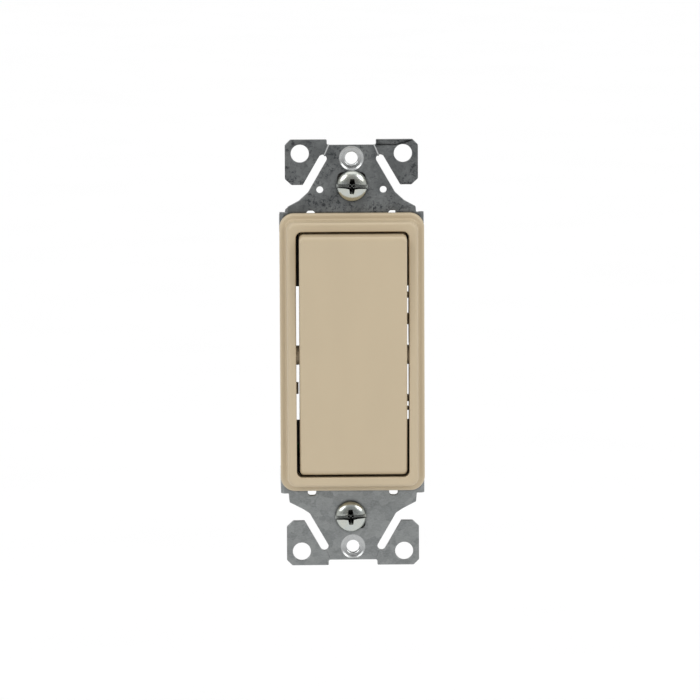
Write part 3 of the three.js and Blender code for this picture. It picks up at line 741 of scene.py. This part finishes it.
def bent_leg(side, end):
    """A strap leg, folded back at a bend, with the window that its barb snaps into."""
    outer, inner, bend = SIDE_X, LEG["inner"], LEG["bend"]
    front = STRAP_FRONT + SUNK
    outline = [(inner - 0.8, -SUNK), (inner - 0.8, front)]
    outline += arc((outer - bend, front + bend), bend, -90, 0, 6)
    outline += [(outer, LEG["end"]), (inner, LEG["end"])]
    outline += arc((inner - 0.35, 0.35), 0.35, 0, -90, 4)[:-1]
    outline = [(side * x, y) for x, y in outline]
    low, high = sorted((end * (LEG["low"] + SUNK), end * (LEG["high"] - SUNK)))
    leg = prism("leg", outline, "Z", low, high, EDGE)
    taper = [(0.9, 36.0), (0.9, 34.7), (1.3, 34.2), (2.0, 33.95)]
    taper += [(9.6, LEG["end_high"]), (9.6, 36.0)]
    cut(leg, prism("taper", [(y, end * z) for y, z in taper], "X", -20, 20))
    low, high = sorted((end * BARB_WINDOW["low"], end * BARB_WINDOW["high"]))
    near = (side * 17.2 - 3, BARB_WINDOW["front"], low)
    far = (side * 17.2 + 3, BARB_WINDOW["back"], high)
    return cut(leg, block("hole", near, far, 0.2))


def ground_tab():
    """The tab for the ground screw, folded back from the left rail."""
    outline = [(TAB["outer"] - 0.6, STRAP_FRONT + SUNK)]
    outline += arc((TAB["inner"] - 1.0, STRAP_FRONT + SUNK + 1.0), 1.0, -90, 0, 6)
    outline += [(TAB["inner"], TAB["end"]), (TAB["outer"], TAB["end"])]
    outline += [(TAB["outer"], -SUNK), (TAB["outer"] - 0.6, -SUNK)]
    tab = prism("tab", outline, "Z", TAB["low"], TAB["high"], EDGE)
    add(tab, block(
        "wire_stop", (TAB["outer"] - 0.2, 10.7, TAB["low"] + 0.3),
        (TAB["inner"] - 0.5, TAB["end"] - 0.02, TAB["high"] - 0.3), 0.08,
    ))
    low, _ = node_box("ground_screw")
    centre = [sum(pair) / 2 for pair in zip(*node_box("ground_screw"))]
    hole = turned("hole", [(AXIS, -9), (2.3, -9), (2.3, 9), (AXIS, 9)], 48)
    turn(hole, 90, "Z")
    shift(hole, (low[0], centre[1], centre[2]))
    return cut(tab, hole)


def build_strap():
    """The strap: a sheet with its openings, four score lines, four legs and the ground tab."""
    outlines = [slot_outline((0, 0), *STRAP_WINDOW, 1.5)]
    outlines += [slot_outline(centre, width, height, 1.2) for centre, width, height in SCREW_SLOTS]
    hook_middle = (HOOK_SLOT["low"] + HOOK_SLOT["high"]) / 2
    hook_height = HOOK_SLOT["high"] - HOOK_SLOT["low"]
    for side in (1, -1):
        outlines.append(circle((side * GUIDE_HOLE["x"], GUIDE_HOLE["z"]), GUIDE_HOLE["radius"], 32))
        for end in (1, -1):
            ear_hole = (side * EAR_HOLE["x"], end * EAR_HOLE["z"])
            outlines.append(circle(ear_hole, EAR_HOLE["radius"], 64))
            hook_slot = (side * HOOK_SLOT["x"], end * hook_middle)
            outlines.append(slot_outline(hook_slot, HOOK_SLOT["width"], hook_height, 0.7))
    walls = [rounded_wall(strap_outline(), STRAP_FRONT, 0.0, EDGE)]
    walls += [rounded_wall(outline, STRAP_FRONT, 0.0, EDGE) for outline in outlines]
    walls += [tapped_hole(PLATE_SCREW_Z), tapped_hole(-PLATE_SCREW_Z)]
    strap = plate("strap_sheet", walls)
    for side in (1, -1):
        for end in (1, -1):
            cut(strap, score_line(side, end))
            add(strap, bent_leg(side, end))
    add(strap, ground_tab())
    return finish_piece(strap, STEEL, "root", "galvanised_steel", "strap", flat_sheet=True)


# ------------------------------------------------------------------ bezel frame

POCKET = {"inner": 13.5, "outer": 15.65, "radius": 2.7}  # where a trunnion sits
LUGS = [(-1, -10.2, -7.2), (1, 7.0, 9.9), (1, 13.6, 15.2), (1, -12.2, -10.4), (1, -14.4, -13.3)]
FLANGE = {"front": -2.95, "edge": 0.7, "radius": 3.6}
STEP = {"inward": 1.6, "foot": 0.45, "fillet": 0.8}  # the raised step on the flange
LIP = 0.3  # rounding of the opening's rim
OPENING = {"half_x": 13.9, "half_z": 30.5, "radius": 1.45}


def build_bezel():
    """The frame's moulding: one ring-shaped loft, then pockets, hooks and lugs."""
    half_x, half_z = BEZEL_HIGH[0], (BEZEL_HIGH[2] - BEZEL_LOW[2]) / 2
    flange_front, edge, radius = FLANGE.values()
    base, foot, fillet = STEP.values()
    profile = [  # (half x, half z, corner radius, y)
        (half_x, half_z, radius, FRAME_BACK),
        (half_x, half_z, radius, flange_front + edge),
    ]
    curve = arc((edge, flange_front + edge), edge, 180, 270, 6)[1:]
    curve += arc((base - foot, flange_front - foot), foot, 90, 0, 5)
    profile += [(half_x - inward, half_z - inward, radius - inward, y) for inward, y in curve]
    for k in range(8):
        t = math.radians(90 * k / 7)
        inward = base + 0.15 + fillet * (1 - math.cos(t))
        y = FRAME_FRONT + fillet * (1 - math.sin(t))
        profile.append((half_x - inward, half_z - inward, 2.3 - 0.5 * (inward - base), y))
    open_x, open_z, open_radius = OPENING.values()
    for k in range(6):
        t = math.radians(90 * (1 - k / 5))
        reach = LIP * (1 - math.cos(t))
        y = FRAME_FRONT + LIP * (1 - math.sin(t))
        profile.append((open_x + reach, open_z + reach, open_radius + reach, y))
    profile.append((open_x, open_z, open_radius, FRAME_BACK))
    rings = [rectangle_ring(x, z, r, y, arc_steps=14) for x, z, r, y in profile]
    bezel = loft("bezel_moulding", rings, closed=True)
    bezel.data.transform(Matrix.Translation((0, 0, FRAME_Z * MM)))
    inner, outer, radius = POCKET.values()
    for side in (1, -1):
        outline = [(AXIS, inner), (radius, inner), (radius, outer), (AXIS, outer)]
        pocket = turned("pocket", outline, 48)
        turn(pocket, -side * 90, "Z")
        shift(pocket, PIVOT)
        cut(bezel, pocket)
        low, high = sorted((side * inner, side * outer))
        cut(bezel, block("pocket", (low, PIVOT.y, -radius), (high, 0.0, radius), 0))
        for end in (1, -1):
            add(bezel, frame_hook(side, end))
    for side, low, high in LUGS:
        add(bezel, frame_lug(side, low, high))
    return finish_piece(bezel, BEIGE, "root", "beige_plastic", "bezel_frame")


def frame_hook(side, end):
    """A hook that passes through a slot of the strap and catches behind it."""
    front = FRAME_BACK - 0.3
    outline = [(front, 34.2), (front, 33.2), (0.1, 33.2), (0.1, 32.5)]
    outline += [(0.6, 32.5), (1.6, 33.2), (1.6, 34.2)]
    outline = [(y, end * z) for y, z in outline]
    middle, half_width = side * HOOK_SLOT["x"], 0.85
    return prism("hook", outline, "X", middle - half_width, middle + half_width)


def frame_lug(side, low, high):
    """A small lug that steadies the frame in the strap's window."""
    root = sorted((side * 14.2, side * 14.6))
    reach = sorted((side * 13.3, side * 14.5))
    lug = block("lug", (root[0], -2.0, low), (root[1], 0.2, high), 0.08)
    return add(lug, block("lug", (reach[0], -0.8, low + 0.05), (reach[1], 0.15, high - 0.05), 0.08))


# ------------------------------------------------------------------ rocker

ROCKER = {"half_x": 13.25, "half_z": 29.8, "radius": 1.1, "skirt": 2.0, "wall": 1.6, "inside": -3.2}
ROCKER_Z = 0.5  # middle of the rocker, above its pivot
FACE_END = -5.136  # the face's ends, from the pivot
FACE_SLOPE = math.radians(0.7)  # each half of the face leans this much
CREASE = 2.5  # rounding where the face's halves meet


def face_depth(z):
    """How far the face's middle lies behind its ends, along a very shallow rounded V."""
    reach = ROCKER["half_z"] + ROCKER_Z
    return math.tan(FACE_SLOPE) * (reach - math.sqrt(z * z + CREASE * CREASE))


def rocker_ring(inward_x, inward_z, y, radius, face=0.0):
    """A ring of the rocker's outside; face is how much it follows the face's curve."""
    half_x, half_z = ROCKER["half_x"] - inward_x, ROCKER["half_z"] - inward_z
    ring = rectangle_ring(half_x, half_z, radius, 0, side_steps=40, arc_steps=10)
    return [(x, y + face * face_depth(z + ROCKER_Z), z + ROCKER_Z) for x, _, z in ring]


def build_rocker():
    """The rocker: a hollow shell with ribs, two trunnions and a bored stem."""
    side_fillet, end_fillet = 0.6, 1.25
    rings = []
    for k in range(11):
        t = math.radians(90 * (1 - k / 10))
        inward = 1 - math.cos(t)
        y = FACE_END + 0.8 * (1 - math.sin(t))
        radius = ROCKER["radius"] - 0.5 * inward
        rings.append(rocker_ring(side_fillet * inward, end_fillet * inward, y, radius, 1.0))
    rings.append(rocker_ring(0.0, -0.1, FACE_END + 3.0, ROCKER["radius"], 0.3))
    rings.append(rocker_ring(0.0, -0.28, ROCKER["skirt"], ROCKER["radius"]))
    rocker = loft("rocker_moulding", rings, strips=True)
    wall = ROCKER["wall"]
    inner_x, inner_z = ROCKER["half_x"] - wall, ROCKER["half_z"] - wall
    hollow = loft("hollow", [
        rectangle_ring(inner_x, inner_z, 0.6, y) for y in (ROCKER["inside"], ROCKER["skirt"] + 1)
    ])
    hollow.data.transform(Matrix.Translation((0, 0, ROCKER_Z * MM)))
    cut(rocker, hollow)
    for z in (-20, -10, 10, 20):
        low = (-inner_x - 0.5, ROCKER["inside"] - 0.2, z - 0.5)
        add(rocker, block("rib", low, (inner_x + 0.5, -1.2, z + 0.5), 0.1))
    for side in (1, -1):
        boss = [(AXIS, inner_x), (2.9, inner_x), (2.9, 13.2), (AXIS, 13.2)]
        pin = [(AXIS, 13.0), (2.4, 13.0), (2.4, 15.1), (2.2, 15.3), (AXIS, 15.3)]
        for profile in (boss, pin):
            journal = turned("journal", profile, 48)
            turn(journal, -side * 90, "Z")
            add(rocker, journal)
    add(rocker, block("stem", (-3.2, ROCKER["inside"] - 0.2, -3.2), (3.2, 9.3, 3.2), 0.3))
    bore = [(AXIS, -2.4), (1.9, -2.4), (1.9, 9.0), (2.3, 9.5), (AXIS, 9.5)]
    cut(rocker, turned("bore", bore, 48))
    place_on_rocker(rocker)
    return finish_piece(rocker, BEIGE, "rocker", "beige_plastic", "rocker")


def place_on_rocker(piece):
    """Tilts a piece made about the pivot to the rocker's rest position."""
    piece.data.transform(ROCKER_PLACE)
    return piece


# ------------------------------------------------------------------ screws

PITCH = 0.79375  # 32 threads to the inch, on the 6-32 and the 8-32 screws
SLOT_REACH = 5.0  # the slot's cutter reaches past every head


def screw(name, head, shank, end, root, sides=48):
    """A screw along Y: the head's profile of (radius, y), then a helical thread to its end."""
    start = head[-1][1]
    rings = [round_ring(radius, y, sides) for radius, y in head]
    step = PITCH / 7
    count = round((end - start) / step)
    for k in range(1, count + 1):
        y = start + (end - start) * k / count
        fade = min(1.0, (y - start) / PITCH)
        tip = root - 0.35 + (end - y) * 0.9
        ring = []
        for i in range(sides):
            t = 2 * math.pi * i / sides
            phase = (y / PITCH + t / (2 * math.pi)) % 1.0
            ridge = 1 - abs(2 * phase - 1)
            groove = min(1.0, ridge * 1.25)
            radius = shank - (shank - root) * fade * (1 - groove)
            radius = min(radius, max(0.3, tip))
            ring.append((radius * math.cos(t), y, radius * math.sin(t)))
        rings.append(ring)
    return loft(name, rings)


def cross_recess(depth, arm, width, bottom_arm=0.3, bottom_width=0.12):
    """A tapered cross, from above y = 0 down to a depth."""
    rings = []
    slope = (arm - bottom_arm) / depth
    for y, a, w in ((-0.6, arm + 0.6 * slope, width + 0.1), (depth, bottom_arm, bottom_width)):
        core = w * 1.35
        quarter = [(a, -w), (a, w), (core, core), (w, a)]
        ring = []
        for k in range(4):
            rotation = Matrix.Rotation(math.pi / 2 * k, 2)
            for u, v in quarter[1:]:
                spot = rotation @ Vector((u, v))
                ring.append((spot.x, y, spot.y))
        rings.append(ring)
    return loft("cross", rings)


def combination_recess(piece, top, width, depth):
    """Cuts a screwdriver slot and a cross into a head whose top is at a height y."""
    near, far = (-SLOT_REACH, top - 1, -width / 2), (SLOT_REACH, top + depth, width / 2)
    cut(piece, block("slot", near, far, 0))
    cross = cross_recess(2.1, 2.05, 0.55)
    cross.data.transform(Matrix.Translation((0, top * MM, 0)))
    return cut(piece, cross)


def mounting_screw(end, slot_angle):
    """A 6-32 mounting screw with a domed head."""
    low, high = node_box(f"{end}_mounting_screw")
    radius = (high[0] - low[0]) / 2
    top, under = low[1], STRAP_FRONT - 0.05
    head = [(AXIS, top)]
    for k in range(1, 11):
        t = math.radians(90 * k / 10)
        bulge = math.sin(t)
        head.append((radius * bulge, under - 0.35 - (under - 0.35 - top) * math.cos(t) ** 0.85))
    head += [(radius, under - 0.12), (radius - 0.1, under), (1.85, under)]
    piece = screw(f"{end}_screw_6_32", head, 1.75, high[1], 1.38)
    combination_recess(piece, top, 1.05, 1.55)
    turn(piece, slot_angle, "Y")
    shift(piece, ((low[0] + high[0]) / 2, 0, (low[2] + high[2]) / 2))
    return finish_piece(piece, ZINC, f"{end}_screw", "zinc_plate", f"{end}_mounting_screw")


def wiring_screw(side, slot_angle):
    """An 8-32 wiring screw in the housing's side."""
    low, high = node_box(f"{side}_screw")
    radius = (high[1] - low[1]) / 2
    height = 2.4
    head = [(AXIS, 0.12), (1.6, 0.0), (2.9, 0.12), (radius - 0.15, 0.6), (radius, 0.9)]
    head += [(radius, height - 0.12), (radius - 0.12, height), (2.15, height)]
    piece = screw(f"{side}_screw_8_32", head, 2.05, high[0] - low[0], 1.62)
    combination_recess(piece, 0.0, 1.1, 1.0)
    turn(piece, slot_angle, "Y")
    turn(piece, 90, "Z")
    shift(piece, (high[0], (low[1] + high[1]) / 2, (low[2] + high[2]) / 2))
    return finish_piece(piece, BRASS, f"{side}_screw", "brass", f"{side}_screw")


def ground_screw(slot_angle):
    """The green 8-32 ground screw, with a slotted hexagonal head on a collar."""
    low, high = node_box("ground_screw")
    head = [(AXIS, 1.6), (3.6, 1.6), (3.8, 1.75), (3.8, 2.1), (3.65, 2.2), (2.15, 2.2)]
    piece = screw("ground_screw_8_32", head, 2.05, high[0] - low[0], 1.62)
    corners = [math.pi * k / 3 for k in range(6)]
    hexagon = [(3.35 * math.cos(t), 3.35 * math.sin(t)) for t in corners]
    add(piece, prism("hex", hexagon, "Y", 0.0, 1.9, 0.25))
    cut(piece, block("slot", (-SLOT_REACH, -1, -0.55), (SLOT_REACH, 0.95, 0.55), 0))
    turn(piece, slot_angle, "Y")
    turn(piece, -90, "Z")
    shift(piece, (low[0], (low[1] + high[1]) / 2, (low[2] + high[2]) / 2))
    return finish_piece(piece, GREEN, "ground_screw", "green_steel", "ground_screw")


# ------------------------------------------------------------------ plunger spring


def build_spring():
    """The coil behind the plunger, with closed ends."""
    radius, wire, turns, low, high = 1.15, 0.22, 7, -2.05, 2.65
    steps, sides = turns * 28, 10
    rings = []
    for k in range(steps + 1):
        t = k / steps
        angle = 2 * math.pi * turns * t
        middle = min(1.0, max(0.0, (t * turns - 1) / (turns - 2)))
        y = low + wire * 2.1 * min(1, t * turns) + (high - low - wire * 4.2) * middle
        y += wire * 2.1 * max(0.0, t * turns - (turns - 1))
        out = Vector((math.cos(angle), 0, math.sin(angle)))
        ring = []
        for i in range(sides):
            a = 2 * math.pi * i / sides
            spot = out * (radius + wire * math.cos(a)) + Vector((0, y + wire * math.sin(a), 0))
            ring.append(tuple(spot))
        rings.append(ring)
    coil = loft("coil", rings)
    place_on_rocker(coil)
    finish_piece(coil, SPRING, "rocker", "spring_steel", "plunger_spring")
    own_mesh(coil)


# ------------------------------------------------------------------ assembly

build_strap()
build_bezel()
build_rocker()
build_spring()
mounting_screw("top", 2)
mounting_screw("bottom", -3)
wiring_screw("line", 25)
wiring_screw("load", -40)
ground_screw(15)
refine("base_housing", HOUSING, 0.25)
refine("chamber_cover", COVER, 0.15)
refine("plunger", SLIDER, 0.1, 50)
for part, metal in (
    ("line_terminal", BRASS), ("load_terminal", BRASS), ("contact_blade", BRASS),
    ("moving_contact", SILVER), ("fixed_contact", SILVER),
    ("line_clamp", ZINC), ("load_clamp", ZINC),
    ("line_push_spring", SPRING), ("load_push_spring", SPRING),
):
    refine(part, metal, 0.08)
for part in ("top_screw_washer", "bottom_screw_washer"):
    refine(part, FIBRE, 0.1)


# ------------------------------------------------------------------ floor, light and camera

FLOOR_Z = -300.0
CAMERA_DISTANCE = 1500.0
CAMERA_RISE = math.radians(7.6)
CAMERA_SIDE = math.radians(-1.2)
CAMERA_ROLL = math.radians(-0.25)
VIEW_WIDTH = 173.2  # width of the view at the strap
AIM = Vector((-0.52, 0.0, 0.64))


def build_floor():
    """A white floor far below the switch, which hangs free in front of it."""
    material, tree, surface = shader("floor", Roughness=0.9)
    tone = noise(tree, coordinates(tree), 0.01, 2.0)
    colour = blend_colours(tree, tone, (0.91, 0.91, 0.91), (0.93, 0.93, 0.93))
    tree.links.new(colour, surface.inputs["Base Color"])
    size = 12000.0
    corners = [(-size, -size), (size, -size), (size, size), (-size, size)]
    mesh = bpy.data.meshes.new("floor")
    mesh.from_pydata([Vector((*corner, FLOOR_Z)) * MM for corner in corners], [], [(0, 1, 2, 3)])
    mesh.materials.append(material)
    link("floor", mesh)


def soft_light(name, place, strength, spread):
    """A soft light far away in a direction, so that it falls evenly on the floor too."""
    data = bpy.data.lights.new(name, "SUN")
    data.energy = strength
    data.angle = math.radians(spread)
    lamp = link(name, data)
    lamp.location = Vector(place).normalized() * 2
    lamp.rotation_euler = (-Vector(place)).to_track_quat("-Z", "Y").to_euler()


def build_light():
    """Three soft lights in a grey room that is darker in front of the switch."""
    world = bpy.data.worlds.new("studio")
    bpy.context.scene.world = world
    world.use_nodes = True
    tree = world.node_tree
    direction = add_node(tree, "ShaderNodeTexCoord").outputs["Generated"]
    from_room = add_node(
        tree, "ShaderNodeVectorMath", {0: direction, 1: (0.0, -0.97, -0.1)}, operation="DOT_PRODUCT"
    ).outputs["Value"]
    dimmed = remap(tree, from_room, 0.55, 0.97, 1.0, 0.28)
    tree.links.new(dimmed, tree.nodes["Background"].inputs["Strength"])
    tree.nodes["Background"].inputs["Color"].default_value = (0.66, 0.66, 0.66, 1)
    soft_light("left_light", (-0.62, -0.55, 0.56), 0.75, 34)
    soft_light("right_light", (0.62, -0.55, 0.56), 0.8, 34)
    soft_light("top_light", (0.0, -0.1, 1.0), 0.6, 60)


def build_camera():
    """A distant camera in front, slightly raised, a little to the left and rolled."""
    data = bpy.data.cameras.new("camera")
    data.sensor_width = 36.0
    data.lens = 36.0 * CAMERA_DISTANCE / VIEW_WIDTH
    camera = link("camera", data)
    level = math.cos(CAMERA_RISE)
    aside, ahead = math.sin(CAMERA_SIDE) * level, -math.cos(CAMERA_SIDE) * level
    back = Vector((aside, ahead, math.sin(CAMERA_RISE)))
    camera.location = (AIM + back * CAMERA_DISTANCE) * MM
    look = (-back).to_track_quat("-Z", "Y").to_matrix().to_4x4()
    roll = Matrix.Rotation(CAMERA_ROLL, 4, "Z")
    camera.rotation_euler = (look @ roll).to_euler()
    bpy.context.scene.camera = camera


build_floor()
build_light()
build_camera()
bpy.context.scene.view_settings.view_transform = "Standard"

bpy.context.view_layer.update()
